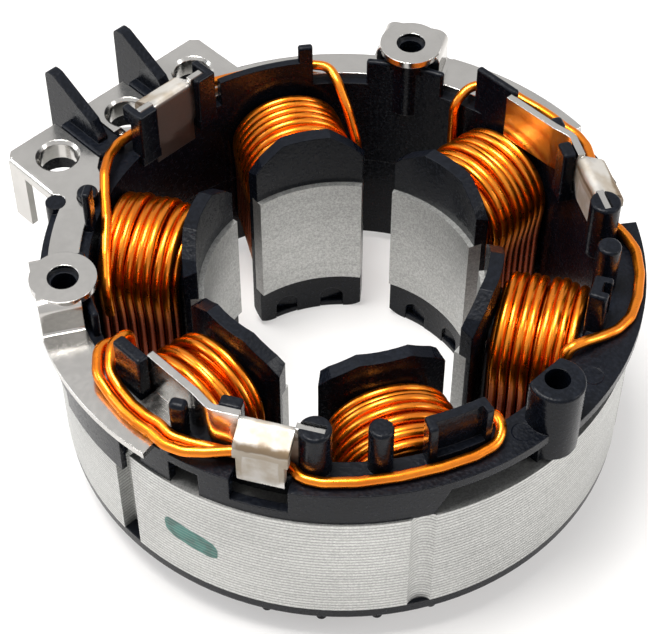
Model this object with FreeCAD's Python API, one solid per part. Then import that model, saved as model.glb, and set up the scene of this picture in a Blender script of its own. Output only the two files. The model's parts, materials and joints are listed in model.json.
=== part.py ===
import FreeCAD, Part
import math
import os

# Wound stator of a brushless power tool motor: a laminated six tooth core between two moulded
# insulators, six coils, three bus bars with fusing hooks, and the leads that run to the hooks.
# Frame: origin on the bore axis in the lower face of the core, +Z up along the bore,
# +Y towards the terminal block. Units are millimetres and degrees.

# Core
core_diameter = 63.0
bore_diameter = 30.0
sheet_thickness = 0.5
sheet_count = 31
yoke_width = 3.8
tooth_width = 7.2
shoe_thickness = 1.5
slot_opening = 3.56
slot_corner = 1.0
key_notch_width = 2.6
key_notch_depth = 1.6
groove_width = 2.6
groove_depth = 0.6

# Insulators
liner = 0.6
cover = 2.2
cover_corner = 3.4
pole_flange_thickness = 1.5
pole_flange_setback = 0.6
pole_flange_height = 7.0
pole_flange_flat = 5.4
pole_flange_shoulder_height = 5.1
pole_flange_shoulder = 10.8
pole_flange_side_height = 3.6
lower_flange_height = 5.9
lower_flange_corner = 2.4
lower_arch_width = 2.7
lower_arch_height = 3.2
lower_arch_depth = 0.5
lower_arch_pitch = 5.6
deck_height = 4.6
deck_thickness = 1.2
front_rim_inset = 0.2
side_rim_overhang = 0.7
skirt_thickness = 1.0
skirt_tab_drop = 2.2
high_wall_height = 8.0
high_wall_thickness = 0.85
wall_post_height = 10.2
skirt_end = 247.0
lower_rim_thickness = 1.4
lower_rim_inset = 0.1
lower_wall_thickness = 1.3
lower_wall_drop = 4.7
foot_diameter = 1.2
foot_pitch = 12.0
foot_start = 5.0
edge_round = 0.35

# Screw bosses
boss_inset = 1.9
boss_diameter = 5.7
boss_height = 10.1
boss_lift = 0.7
ear_wall_height = 7.0
pilot_diameter = 2.6
pilot_depth = 8.6

# Winding
wire_diameter = 1.12
turns_per_layer = 8
ridge_rise = 0.34
coil_clearance = 0.05

# Bus bars
sheet_metal = 0.8
ear_rise = 4.1
arm_width = 3.3
arc_plate_width = 4.6
arc_plate_overhang = 0.9
ear_hole_diameter = 3.3
ear_disc_diameter = 7.0
ear_neck = 4.4
ear_neck_inward = 1.3
ear_length = 7.4
strip_height = 5.8
strip_reach = 5.7
strip_lip = 0.2
tooth_strip_step = 1.0
hook_width = 5.6
hook_foot_width = 4.9
hook_drop = 0.7
strip_bend = 1.0
fold_radius = 0.5
hook_slope_drop = 1.6
hook_fold_start = 2.3
terminal_hole_diameter = 4.3
terminal_collar_wall = 0.7
terminal_collar_depth = 1.6
terminal_mouth = 0.35
terminal_pitch = 10.0
terminal_row_offset = -2.5
terminal_reach = 0.9
terminal_plate_out = 4.15
terminal_plate_in = 3.1
terminal_plate_reach = 4.2
plate_neck = 1.1
plate_notch = 0.8
flap_drop = 8.5
flap_width = 2.7
lip_length = 8.2
lip_drop = 1.3
stake_diameter = 2.2
stake_at = 32.05
stake_angle = 122.6
stake_drop = 1.8
stub_diameter = 2.3
stub_inset = 2.6
stub_angle = 119.4
middle_strip_reach = 4.6
strip_tongue_drop = 3.1

# Wire guides on the upper insulator
guide_height = 6.1
guide_inset = 3.8
split_post_diameter = 3.3
round_post_diameter = 2.5
channel_half = 1.0
channel_step = 0.6
channel_end_wall = 1.8
channel_floor = 1.0
inner_block = 1.5
post_depth = 0.9
fin_thickness = 1.3
fin_height = 6.5
fin_reach = 6.8
fin_corner = 0.9
fin_base_gap = 0.1
lay_gap = 0.05
lead_bend = 3.0

# Worked out sizes
core_radius = core_diameter / 2
bore_radius = bore_diameter / 2
stack = sheet_thickness * sheet_count
yoke_inside = core_radius - yoke_width
tooth_half = tooth_width / 2
shoe_outside = bore_radius + shoe_thickness
shoe_half_angle = 30 - math.degrees(math.asin(slot_opening / 2 / bore_radius))
cover_half = tooth_half + liner
flange_inside = bore_radius + pole_flange_setback
coil_inside = flange_inside + pole_flange_thickness
wall_inside = yoke_inside - liner
coil_height = wire_diameter * (1 + math.sqrt(3) / 2)
coil_half = cover_half + coil_height
coil_outside = math.sqrt(wall_inside ** 2 - coil_half ** 2) - coil_clearance
coil_pitch = (coil_outside - coil_inside) / turns_per_layer
wire_radius = wire_diameter / 2
boss_circle = core_radius - boss_inset
guide_circle = core_radius - guide_inset
terminal_row_at = core_radius + terminal_reach
ear_neck_inside = boss_circle - ear_neck_inward
deck_top = stack + deck_height
front_rim = core_radius - front_rim_inset
side_rim = core_radius + side_rim_overhang
plate_top = deck_top + sheet_metal
ear_top = deck_top + sheet_metal + ear_rise
ear_bottom = ear_top - sheet_metal
boss_top = stack + boss_height
guide_top = deck_top + guide_height
strip_top = deck_top + strip_height
strip_inside = wall_inside - strip_lip
strip_outside = strip_inside + sheet_metal
tooth_strip_inside = strip_inside - tooth_strip_step
wire_lane = strip_outside + wire_radius + lay_gap
hook_gap = 1.5 * wire_diameter + 2 * lay_gap
outer_wire_lane = strip_outside + hook_gap - wire_radius - lay_gap
lower_deck = -lower_rim_thickness
rest_plane = -lower_flange_height
arm_outside = core_radius - front_rim_inset
arm_inside = arm_outside - arm_width
arc_plate_outside = side_rim + arc_plate_overhang
arc_plate_inside = arc_plate_outside - arc_plate_width

tooth_angles = [0, 60, 120, 180, 240, 300]
boss_angles = [30, 150, 270]


def vec(x, y, z=0.0):
    return FreeCAD.Vector(x, y, z)


def polar(radius, angle, z=0.0):
    a = math.radians(angle)
    return vec(radius * math.cos(a), radius * math.sin(a), z)


def turned(shape, angle):
    out = shape.copy()
    out.rotate(vec(0, 0), vec(0, 0, 1), angle)
    return out


def block(x0, x1, y0, y1, z0, z1):
    return Part.makeBox(x1 - x0, y1 - y0, z1 - z0, vec(x0, y0, z0))


def post(radius, x, y, z0, z1):
    return Part.makeCylinder(radius, z1 - z0, vec(x, y, z0))


def ring(r0, r1, z0, z1):
    outer = Part.makeCylinder(r1, z1 - z0, vec(0, 0, z0))
    return outer.cut(Part.makeCylinder(r0, z1 - z0, vec(0, 0, z0)))


def sector(r0, r1, a0, a1, z0, z1):
    mid = (a0 + a1) / 2
    outer = Part.Arc(polar(r1, a0), polar(r1, mid), polar(r1, a1)).toShape()
    inner = Part.Arc(polar(r0, a1), polar(r0, mid), polar(r0, a0)).toShape()
    end_line = Part.makeLine(polar(r1, a1), polar(r0, a1))
    start_line = Part.makeLine(polar(r0, a0), polar(r1, a0))
    face = Part.Face(Part.Wire([outer, end_line, inner, start_line]))
    face.translate(vec(0, 0, z0))
    return face.extrude(vec(0, 0, z1 - z0))


def prism(points, direction):
    face = Part.Face(Part.makePolygon(list(points) + [points[0]]))
    return face.extrude(direction)


def fused(shapes):
    shapes = list(shapes)
    if len(shapes) == 1:
        return shapes[0]
    return shapes[0].fuse(shapes[1:]).removeSplitter()


def moulded(shape, radius=edge_round):
    """Rounds the upright and the top edges of a plain form, as a moulding has them."""
    foot = shape.BoundBox.ZMin + 1e-4
    return shape.makeFillet(radius, [e for e in shape.Edges if max(v.Z for v in e.Vertexes) > foot])


def pin(radius, x, y, z0, z1, tip=edge_round):
    """Round post with a rounded tip."""
    body = post(radius, x, y, z0, z1)
    return body.makeFillet(tip, [e for e in body.Edges if abs(e.BoundBox.ZMin - z1) < 1e-4])


def without(shape, tools):
    return shape.cut(list(tools)).removeSplitter()


# Core: one stack of punched sheets

def core_body():
    pieces = [ring(yoke_inside, core_radius, 0, stack)]
    for angle in tooth_angles:
        pieces.append(turned(block(bore_radius + 0.3, yoke_inside + 1, -tooth_half, tooth_half, 0, stack), angle))
        shoe = sector(bore_radius, shoe_outside, -shoe_half_angle, shoe_half_angle, 0, stack)
        pieces.append(turned(shoe, angle))
    body = fused(pieces)
    roots = []
    for edge in body.Edges:
        if len(edge.Vertexes) != 2 or abs(edge.Length - stack) > 0.01:
            continue
        at = edge.Vertexes[0].Point
        reach = math.hypot(at.x, at.y)
        if yoke_inside - 0.6 < reach < yoke_inside + 0.1:
            roots.append(edge)
    return body.makeFillet(slot_corner, roots)


def core_shape():
    cuts = []
    for angle in tooth_angles:
        if angle in (0, 180):
            notch = block(core_radius - key_notch_depth, core_radius + 1,
                          -key_notch_width / 2, key_notch_width / 2, -1, stack + 1)
        else:
            bow = (groove_width ** 2 / 4 + groove_depth ** 2) / (2 * groove_depth)
            notch = post(bow, core_radius - groove_depth + bow, 0, -1, stack + 1)
        cuts.append(turned(notch, angle))
    return without(core_body(), cuts)


# Insulators: the shapes that line the slots, shared by both halves

def tooth_cover(z0, z1, rounded_up):
    """Cover round one tooth along +X, with its two outer corners rounded."""
    r = cover_corner
    flat = z1 - r if rounded_up else z0 + r
    body = block(coil_inside - 0.3, wall_inside + 0.3, -cover_half, cover_half, min(flat, z0 if rounded_up else z1),
                 max(flat, z0 if rounded_up else z1))
    cap = block(coil_inside - 0.3, wall_inside + 0.3, -cover_half + r, cover_half - r, min(z0, z1), max(z0, z1))
    corners = []
    for side in (-1, 1):
        bar = Part.makeCylinder(r, wall_inside - coil_inside + 0.6,
                                vec(coil_inside - 0.3, side * (cover_half - r), flat), vec(1, 0, 0))
        corners.append(bar)
    return fused([body, cap] + corners)


def slot_lining(z0, z1):
    """Thin walls on the yoke and on the backs of the pole shoes."""
    pieces = [ring(wall_inside, yoke_inside, z0, z1)]
    for angle in tooth_angles:
        pieces.append(turned(sector(shoe_outside, coil_inside, -shoe_half_angle, shoe_half_angle, z0, z1), angle))
    return pieces


def pole_flange(outline):
    """Upright flange on one pole shoe along +X; outline is in Y and Z."""
    curved = sector(flange_inside, coil_inside, -shoe_half_angle, shoe_half_angle,
                    min(p[1] for p in outline), max(p[1] for p in outline))
    cutter = prism([vec(flange_inside - 4, y, z) for y, z in outline], vec(coil_inside - flange_inside + 8, 0, 0))
    return curved.common(cutter)


def upper_flange_outline():
    half = coil_inside
    return [(-half, stack), (half, stack), (half, stack + pole_flange_side_height),
            (coil_inside * math.sin(math.radians(shoe_half_angle)), stack + pole_flange_side_height),
            (pole_flange_shoulder / 2, stack + pole_flange_shoulder_height),
            (pole_flange_flat / 2, stack + pole_flange_height),
            (-pole_flange_flat / 2, stack + pole_flange_height),
            (-pole_flange_shoulder / 2, stack + pole_flange_shoulder_height),
            (-coil_inside * math.sin(math.radians(shoe_half_angle)), stack + pole_flange_side_height),
            (-half, stack + pole_flange_side_height)]


def lower_flange(angle):
    """Lower flange of one pole shoe: full width, its lower corners rounded, two blind arches in its face."""
    half = coil_inside * math.sin(math.radians(shoe_half_angle))
    body = sector(flange_inside, coil_inside, -shoe_half_angle, shoe_half_angle, rest_plane, 0)
    outline = block(flange_inside - 4, coil_inside + 4, -half, half, rest_plane, lower_flange_height)
    corners = [e for e in outline.Edges if abs(e.BoundBox.ZMax - rest_plane) < 1e-4 and e.BoundBox.XLength > 1]
    body = body.common(outline.makeFillet(lower_flange_corner, corners))
    cuts = []
    for side in (-1, 1):
        at = side * lower_arch_pitch / 2
        straight = rest_plane + lower_arch_height - lower_arch_width / 2
        reach = math.sqrt(flange_inside ** 2 - at ** 2) + lower_arch_depth
        arch = Part.makeCylinder(lower_arch_width / 2, 6, vec(reach - 6, at, straight), vec(1, 0, 0))
        foot = block(reach - 6, reach, at - lower_arch_width / 2, at + lower_arch_width / 2, rest_plane - 1, straight)
        cuts += [arch, foot]
    return turned(body.cut(cuts), angle)


# Upper insulator

def hook_station(angle, side, wide_channel, block_length, block_thickness):
    """Wire guides round one fusing hook. side is the way round from the hook to its split post."""
    solids = []
    base = deck_top - deck_thickness

    def place(shape):
        if side < 0:
            shape = shape.mirror(vec(0, 0), vec(0, 1, 0))
        return turned(shape, angle)

    def on_tooth(shape):
        """From the frame of the tooth beside the hook to the frame of the hook."""
        return turned(shape, -30)

    mid_strip = (strip_inside + strip_outside) / 2
    split_at = math.sqrt(guide_circle ** 2 - mid_strip ** 2)
    split = pin(split_post_diameter / 2, mid_strip, split_at, base, guide_top)
    slot = block(strip_inside - lay_gap, strip_outside + lay_gap, split_at - split_post_diameter,
                 strip_reach + lay_gap, deck_top, guide_top + 1)
    solids.append(place(split.cut(slot)))
    tip = polar(guide_circle, 22.8)
    solids.append(place(pin(round_post_diameter / 2, tip.x, tip.y, base, guide_top)))
    start, end = (32, 46) if wide_channel else (30.5, 37)
    channel = moulded(sector(guide_circle - channel_half, guide_circle + channel_half, start, end,
                             base, guide_top - channel_step))
    recess = sector(guide_circle + 0.1, guide_circle + channel_half + 0.5, start + channel_end_wall,
                    end - channel_end_wall, deck_top + channel_floor, guide_top)
    solids.append(place(channel.cut(recess)))
    inside = strip_inside - lay_gap
    solids.append(place(moulded(block(inside - inner_block, inside, -strip_reach + 0.5, -hook_width / 2 - 0.1,
                                      base, strip_top))))
    solids.append(place(block(inside - inner_block, wall_inside + 0.5, -strip_reach + 0.5, -hook_width / 2 - 0.1,
                              base, deck_top)))
    solids.append(place(moulded(block(strip_inside - 0.7, strip_inside + 0.7, -strip_reach - 4.4,
                                      -strip_reach - 2.6, base, guide_top - 1.2), 0.5)))
    face = tooth_strip_inside + sheet_metal + lay_gap
    solids.append(place(on_tooth(moulded(block(face, face + block_thickness, -block_length, 0, base, guide_top)))))
    return solids


def boss(angle, flat_inside):
    """Screw boss on the rim, with a web to the ring wall; the bare one has a flat towards the bore."""
    body = pin(boss_diameter / 2, boss_circle, 0, stack + boss_lift, ear_bottom, fold_radius + 2 * lay_gap)
    if flat_inside:
        body = pin(boss_diameter / 2, boss_circle, 0, stack + boss_lift, boss_top)
        flat = yoke_inside + liner / 2
        body = body.cut(block(flat - boss_diameter, flat, -boss_diameter, boss_diameter, stack, boss_top + 1))
    web = block(yoke_inside, yoke_inside + boss_diameter / 2, -boss_diameter / 2, boss_diameter / 2,
                stack, deck_top)
    return [turned(body, angle), turned(web, angle)]


def terminal_x(index):
    return terminal_row_offset + (index - 1) * terminal_pitch


def terminal_shelf():
    """Shelf that carries the three terminal plates beyond the core."""
    left = terminal_x(0) - stake_diameter
    right = terminal_x(2) + terminal_plate_out - 0.3
    outer = terminal_row_at + terminal_plate_reach - 0.4
    inner = yoke_inside + 1.0
    slab = block(left, right, inner, outer, stack + 0.6, deck_top)
    slab = slab.cut(block(left, right, inner - 5, core_radius, stack - 1, deck_top - deck_thickness))
    return slab.cut(Part.makeCylinder(yoke_inside + 0.5, 60, vec(0, 0, -5)))


def terminal_pocket(index):
    return post(terminal_hole_diameter / 2 + terminal_collar_wall + 0.1, terminal_x(index), terminal_row_at,
                stack + 0.3, deck_top + 1)


def fin(x):
    """Upright barrier between two terminals: a base between the plates and a blade with rounded corners."""
    foot = deck_top - deck_thickness
    outer = terminal_row_at + fin_reach
    inner = terminal_row_at - 1.9
    top = plate_top + fin_height - sheet_metal
    edge = x - fin_thickness / 2
    outline = [vec(edge, inner, foot), vec(edge, outer, foot - 3.4), vec(edge, outer, top),
               vec(edge, outer - 1.6, top), vec(edge, inner + 1.2, plate_top + 2.6),
               vec(edge, inner, plate_top + 0.6)]
    blade = prism(outline, vec(fin_thickness, 0, 0))
    corners = [e for e in blade.Edges if e.BoundBox.XLength > 0.5 and e.BoundBox.ZMin > plate_top + 2]
    blade = blade.makeFillet(fin_corner, [e for e in corners if e.BoundBox.ZMin > top - 0.1][:2])
    wide = terminal_pitch - terminal_plate_in - max(terminal_plate_out, terminal_plate_in)
    half = min(terminal_pitch / 2 - terminal_plate_in, wide) - fin_base_gap
    base = moulded(block(x - half, x + half, inner - 1.6, terminal_row_at + 3.6, foot, plate_top + 0.15))
    return [blade, base]


def ear_walls():
    """Raised walls beside the two ears, with a lower wall between them."""
    pieces = []
    base = deck_top - deck_thickness
    outside = wall_inside + high_wall_thickness
    for middle, way in ((30, 1), (150, -1)):
        for start, end in ((-9.5, -3.3), (3.3, 9.5)):
            a0, a1 = sorted((middle + way * start, middle + way * end))
            pieces.append(moulded(sector(wall_inside, outside, a0, a1, base, stack + high_wall_height)))
        pieces.append(sector(wall_inside, outside, middle - 4, middle + 4, base, stack + ear_wall_height))
    return pieces


def tall_walls():
    """Walls behind the coils at the terminal side, each with a post at its end."""
    pieces = []
    base = deck_top - deck_thickness
    outside = wall_inside + high_wall_thickness
    pieces.append(sector(wall_inside, outside, 52.5, 76, base, stack + high_wall_height))
    for start, end in ((52.5, 56), (124.5, 128.3)):
        pieces.append(moulded(sector(wall_inside, outside, start, end, base, stack + wall_post_height), 0.3))
    return pieces


def terminal_posts():
    """Posts that hold the ends of the middle strip, with noses that keep the wires down."""
    pieces = []
    base = deck_top - deck_thickness
    inside = strip_inside - lay_gap
    near = hook_width / 2 + 0.15
    far = middle_strip_reach + lay_gap + 0.9
    for side in (-1, 1):
        x0, x1 = sorted((side * near, side * far))
        pieces.append(moulded(block(x0, x1, inside - post_depth, inside, base, guide_top - 0.1), 0.25))
        x0, x1 = sorted((side * (middle_strip_reach + lay_gap), side * far))
        nose = block(x0, x1, inside - post_depth, strip_outside + wire_diameter + 0.2, guide_top - 2.0,
                     guide_top - 0.1)
        pieces.append(moulded(nose, 0.25))
        pieces.append(block(x0, x1, inside - 0.5, strip_outside, base, guide_top - 1))
        x0, x1 = sorted((side * near, side * far))
        pieces.append(block(x0, x1, inside - post_depth, wall_inside + 0.5, base, deck_top))
    return pieces


def upper_rim():
    """Deck and its skirts, flush with the core in front and standing over it at the sides."""
    base = deck_top - deck_thickness
    pieces = [sector(yoke_inside, front_rim, 184, 268, base, deck_top)]
    pieces.append(sector(yoke_inside, side_rim, -92, 184, base, deck_top))
    skirt = sector(front_rim - skirt_thickness, front_rim, 185, skirt_end, stack, base)
    slant = prism([vec(0, 0, stack - 1), vec(0, 8, stack - 1), vec(0, 8, base), vec(0, 2.2, base)],
                  vec(core_radius + 2, 0, 0))
    pieces.append(skirt.cut(turned(slant, skirt_end - 6)))
    for start, end in ((63, 74), (118, 181.5)):
        pieces.append(sector(side_rim - skirt_thickness, side_rim, start, end, stack, base))
    pieces.append(sector(side_rim - skirt_thickness, side_rim, -1.5, 63, stack, base))
    for start, end in ((163, 181.5), (-1.5, 17)):
        pieces.append(sector(core_radius + lay_gap, side_rim, start, end, stack - skirt_tab_drop, base))
    pieces.append(moulded(sector(front_rim - 1.3, front_rim, 190.0, 192.6, deck_top - 0.5, plate_top), 0.3))
    return pieces


def upper_insulator_shape():
    half = stack / 2
    pieces = slot_lining(half, stack)
    pieces.append(ring(wall_inside, yoke_inside + liner, stack, deck_top))
    for angle in tooth_angles:
        pieces.append(turned(tooth_cover(half, stack + cover, True), angle))
        pieces.append(turned(pole_flange(upper_flange_outline()), angle))
    deck_bottom = deck_top - deck_thickness
    pieces += upper_rim()
    pieces += ear_walls()
    pieces += tall_walls()
    for angle in boss_angles:
        pieces += boss(angle, angle == 270)
    pieces += hook_station(210, 1, True, 4.0, 1.4)
    pieces += hook_station(330, -1, False, 5.8, 0.9)
    pieces += terminal_posts()
    pieces.append(terminal_shelf())
    for left in (0, 1):
        pieces += fin((terminal_x(left) + terminal_x(left + 1)) / 2)
    stake = polar(stake_at, stake_angle)
    pieces.append(post(stake_diameter / 2, stake.x, stake.y, stack - stake_drop, plate_top))
    stub = polar(core_radius - stub_inset, stub_angle)
    pieces.append(pin(stub_diameter / 2, stub.x, stub.y, deck_bottom, plate_top + 0.9))
    body = fused(pieces)
    cuts = [core_body()]
    for angle in boss_angles:
        at = polar(boss_circle, angle)
        cuts.append(post(pilot_diameter / 2, at.x, at.y, ear_bottom - pilot_depth, boss_top + 1))
    for index in range(3):
        cuts.append(terminal_pocket(index))
    leg_inside = strip_outside + hook_gap - 0.3
    for angle in (210, 330):
        cuts.append(sector(leg_inside, core_radius + 2, angle - 5.5, angle + 5.5, stack + 1.4, deck_top + 1))
    cuts.append(block(-hook_width / 2 - 0.2, hook_width / 2 + 0.2, leg_inside,
                      strip_outside + hook_gap + sheet_metal + 0.2, stack + 2.2, deck_top + 1))
    cuts.append(block(-hook_width / 2 - 0.1, hook_width / 2 + 0.1, wall_inside - 1, strip_outside + lay_gap,
                      deck_top - strip_tongue_drop - 0.1, deck_top + 1))
    cuts.append(sector(core_radius - 1.9, core_radius + 1, 192.0, 198.3, stack, deck_bottom))
    return without(body, cuts)


# Lower insulator

def lower_insulator_shape():
    half = stack / 2
    rim = core_radius - lower_rim_inset
    wall_outside = wall_inside + lower_wall_thickness
    pieces = slot_lining(0, half)
    pieces.append(ring(wall_inside, rim, lower_deck, 0))
    pieces.append(ring(wall_inside, wall_outside, -lower_wall_drop, lower_deck))
    for angle in tooth_angles:
        pieces.append(turned(tooth_cover(-cover, half, False), angle))
        pieces.append(lower_flange(angle))
    for step in range(int(360 / foot_pitch)):
        foot = polar(wall_outside, foot_start + foot_pitch * step)
        pieces.append(post(foot_diameter / 2, foot.x, foot.y, rest_plane, lower_deck))
    body = fused(pieces)
    cuts = [core_body()]
    for angle in tooth_angles:
        gap = block(wall_inside - 1, rim + 1, -foot_diameter, foot_diameter, -lower_wall_drop - 1,
                    lower_deck - 1.6)
        cuts.append(turned(gap, angle + foot_start + foot_pitch / 2))
    return without(body, cuts)


# Coils: two layers of round wire, the outer layer as ridges

def coil_profile():
    """Section of one coil above its tooth, as a face in the plane Y = 0; each turn is three flats."""
    base = stack + cover
    top = base + coil_height
    valley = top - ridge_rise
    crown = base + wire_diameter
    half = coil_pitch / 2
    flat = 0.27 * coil_pitch
    start = coil_inside + half
    end = coil_outside - half
    points = [vec(coil_inside, 0, base), vec(coil_inside, 0, base + wire_radius),
              vec(coil_inside + 0.3 * half, 0, crown - 0.17), vec(start, 0, crown), vec(start, 0, valley)]
    for k in range(turns_per_layer - 1):
        left = start + k * coil_pitch
        points += [vec(left + flat, 0, top), vec(left + coil_pitch - flat, 0, top),
                   vec(left + coil_pitch, 0, valley)]
    points += [vec(end, 0, crown), vec(coil_outside - 0.3 * half, 0, crown - 0.17),
               vec(coil_outside, 0, base + wire_radius), vec(coil_outside, 0, base)]
    return Part.Face(Part.makePolygon(points + [points[0]]))


def coil_shape():
    face = coil_profile()
    run_half = cover_half - cover_corner
    upper = stack + cover - cover_corner
    lower = -cover + cover_corner
    axis = vec(1, 0, 0)
    start = face.copy()
    start.translate(vec(0, -run_half, 0))
    top_run = start.extrude(vec(0, 2 * run_half, 0))
    right_start = face.copy()
    right_start.translate(vec(0, run_half, 0))
    pieces = [top_run]
    corner = right_start.revolve(vec(0, run_half, upper), axis, -90)
    pieces.append(corner)
    side = right_start.copy()
    side.rotate(vec(0, run_half, upper), axis, -90)
    pieces.append(side.extrude(vec(0, 0, lower - upper)))
    low = side.copy()
    low.translate(vec(0, 0, lower - upper))
    pieces.append(low.revolve(vec(0, run_half, lower), axis, -90))
    bottom = low.copy()
    bottom.rotate(vec(0, run_half, lower), axis, -90)
    pieces.append(bottom.extrude(vec(0, -2 * run_half, 0)))
    mirrored = [piece.mirror(vec(0, 0), vec(0, 1, 0)) for piece in pieces[1:4]]
    return fused(pieces + mirrored)


# Bus bars: blanks of one sheet, folded

def rounded_edges(points, radii):
    """Straight runs joined by tangent arcs; radii has one value for each inner point."""
    edges = []
    previous = points[0]
    for k in range(1, len(points) - 1):
        corner = points[k]
        back = points[k - 1].sub(corner)
        ahead = points[k + 1].sub(corner)
        run = min(back.Length, ahead.Length)
        bend = math.pi - back.getAngle(ahead)
        back.normalize()
        ahead.normalize()
        radius = min(0.45 * run / math.tan(bend / 2), radii[k - 1])
        trim = radius * math.tan(bend / 2)
        start = corner.add(back * trim)
        end = corner.add(ahead * trim)
        bisector = back.add(ahead)
        bisector.normalize()
        middle = corner.add(bisector * (radius / math.cos(bend / 2) - radius))
        edges.append(Part.makeLine(previous, start))
        edges.append(Part.Arc(start, middle, end).toShape())
        previous = end
    edges.append(Part.makeLine(previous, points[-1]))
    return edges


def folded(path, bend):
    """Section of a folded sheet; the path is its left face, and the sheet lies to the right of it."""
    normals = []
    for a, b in zip(path, path[1:]):
        along = b.sub(a)
        along.normalize()
        normals.append(vec(along.y, -along.x))
    outer = [path[0].add(normals[0] * sheet_metal)]
    near_radii = []
    far_radii = []
    for k in range(1, len(path) - 1):
        before, after = normals[k - 1], normals[k]
        middle = before.add(after)
        middle.normalize()
        outer.append(path[k].add(middle * (sheet_metal / middle.dot(before))))
        left_turn = before.x * after.y - before.y * after.x > 0
        near_radii.append(bend if left_turn else bend + sheet_metal)
        far_radii.append(bend + sheet_metal if left_turn else bend)
    outer.append(path[-1].add(normals[-1] * sheet_metal))
    edges = rounded_edges(path, near_radii)
    edges.append(Part.makeLine(path[-1], outer[-1]))
    edges += rounded_edges(outer[::-1], far_radii[::-1])
    edges.append(Part.makeLine(outer[0], path[0]))
    return Part.Face(Part.Wire(edges))


def upright(path, z0, z1):
    """A sheet standing on edge with its inner face on a list of plan points that go round to the left."""
    face = folded(path, strip_bend)
    face.translate(vec(0, 0, z0))
    return face.extrude(vec(0, 0, z1 - z0))


def across(face, along, depth):
    """Stands a section drawn in plan upright: its X stays or turns to Y, its Y becomes Z, and it is extruded."""
    face = face.copy()
    face.rotate(vec(0, 0), vec(1, 0, 0), 90)
    if along == "y":
        return face.extrude(vec(0, -depth, 0))
    face.rotate(vec(0, 0), vec(0, 0, 1), 90)
    return face.extrude(vec(depth, 0, 0))


def hook(z_top, width, foot_width):
    """Hook folded outwards over the wires and pressed down on them, in the frame of its slot along +X."""
    leg = strip_outside + hook_gap + sheet_metal
    start = z_top - hook_fold_start
    foot = deck_top - hook_drop
    path = [vec(strip_inside, start), vec(strip_inside, z_top), vec(leg, z_top - hook_slope_drop), vec(leg, foot)]
    body = across(folded(path, fold_radius), "y", width)
    body.translate(vec(0, width / 2, 0))
    waist = z_top - hook_slope_drop - 1.6
    for side in (-1, 1):
        a, b = sorted((side * foot_width / 2, side * width))
        body = body.cut(block(leg - sheet_metal - 0.1, leg + 1, a, b, foot - 1, waist))
    return body


def bus_strip(from_tooth):
    """The upright strip of one bar with its hook, in the frame of its slot along +X."""
    reach = strip_reach if from_tooth else middle_strip_reach
    path = [vec(strip_inside, -reach), vec(strip_inside, reach)]
    if from_tooth:
        turn = math.radians(-30)
        tooth_points = []
        for y in (-0.4, 6.3):
            tooth_points.append(vec(tooth_strip_inside * math.cos(turn) - y * math.sin(turn),
                                    tooth_strip_inside * math.sin(turn) + y * math.cos(turn)))
        path = tooth_points + path
    sheet = upright(path, deck_top, strip_top)
    relief = block(strip_inside - 0.1, strip_inside + 30, -hook_width / 2, hook_width / 2,
                   strip_top - hook_fold_start, strip_top + 1)
    pieces = [sheet.cut(relief), hook(strip_top, hook_width, hook_foot_width)]
    if not from_tooth:
        pieces.append(block(strip_inside, strip_outside, -hook_width / 2, hook_width / 2,
                            deck_top - strip_tongue_drop, deck_top))
    return pieces


def ear(angle):
    """Raised ear over a screw boss: a strip folded up, over and down again, with a round lobe inside."""
    half = ear_length / 2
    run = fold_radius + 0.35
    low = deck_top + sheet_metal
    path = [vec(-half - run, low), vec(-half, low), vec(-half, ear_top), vec(half, ear_top), vec(half, low),
            vec(half + run, low)]
    body = across(folded(path, fold_radius), "x", ear_neck)
    body.translate(vec(ear_neck_inside, 0, 0))
    body = body.fuse(post(ear_disc_diameter / 2, boss_circle, 0, ear_bottom, ear_top)).removeSplitter()
    body = body.cut(post(ear_hole_diameter / 2, boss_circle, 0, ear_bottom - 1, ear_top + 1))
    return turned(body, angle)


def terminal_hole(index):
    """Drawn collar under a terminal plate, and the cut for its hole with a rounded mouth."""
    x = terminal_x(index)
    radius = terminal_hole_diameter / 2
    collar = post(radius + terminal_collar_wall, x, terminal_row_at, deck_top - terminal_collar_depth, deck_top)
    mouth = radius + terminal_mouth
    section = [vec(x, terminal_row_at, deck_top - terminal_collar_depth - 1),
               vec(x + radius, terminal_row_at, deck_top - terminal_collar_depth - 1),
               vec(x + radius, terminal_row_at, plate_top - terminal_mouth),
               vec(x + mouth, terminal_row_at, plate_top), vec(x + mouth, terminal_row_at, plate_top + 1),
               vec(x, terminal_row_at, plate_top + 1)]
    face = Part.Face(Part.makePolygon(section + [section[0]]))
    return collar, face.revolve(vec(x, terminal_row_at, 0), vec(0, 0, 1), 360)


def side_plate(side):
    """Flat blank of an outer terminal, running into the arm that leaves it."""
    x = terminal_x(0 if side < 0 else 2)
    top = terminal_row_at + terminal_plate_reach
    out = x + side * terminal_plate_out
    inn = x - side * terminal_plate_in
    neck = x - side * plate_neck
    low = math.sqrt((arm_inside + 0.05) ** 2 - neck ** 2)
    points = [vec(out, math.sqrt((arm_outside - 0.05) ** 2 - out ** 2)), vec(out, top - plate_notch),
              vec(out - side * plate_notch, top), vec(inn, top), vec(inn, low + 3.3),
              vec(inn + side * 1.2, low + 2.2), vec(neck, low)]
    slab = prism([p.add(vec(0, 0, deck_top)) for p in points], vec(0, 0, sheet_metal))
    return slab, neck, low


def terminal_flap():
    """Edge of the left terminal folded down, with a tongue at its outer end."""
    edge = terminal_x(0) - terminal_plate_out
    outer = terminal_row_at + terminal_plate_reach - plate_notch
    pieces = []
    for length, drop in ((lip_length - plate_notch, lip_drop), (flap_width, flap_drop)):
        path = [vec(edge - 0.15, plate_top - drop), vec(edge - 0.15, plate_top), vec(edge + 1.6, plate_top)]
        fold = across(folded(path, fold_radius), "y", length)
        fold.translate(vec(0, outer, 0))
        pieces.append(fold)
    return pieces


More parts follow.
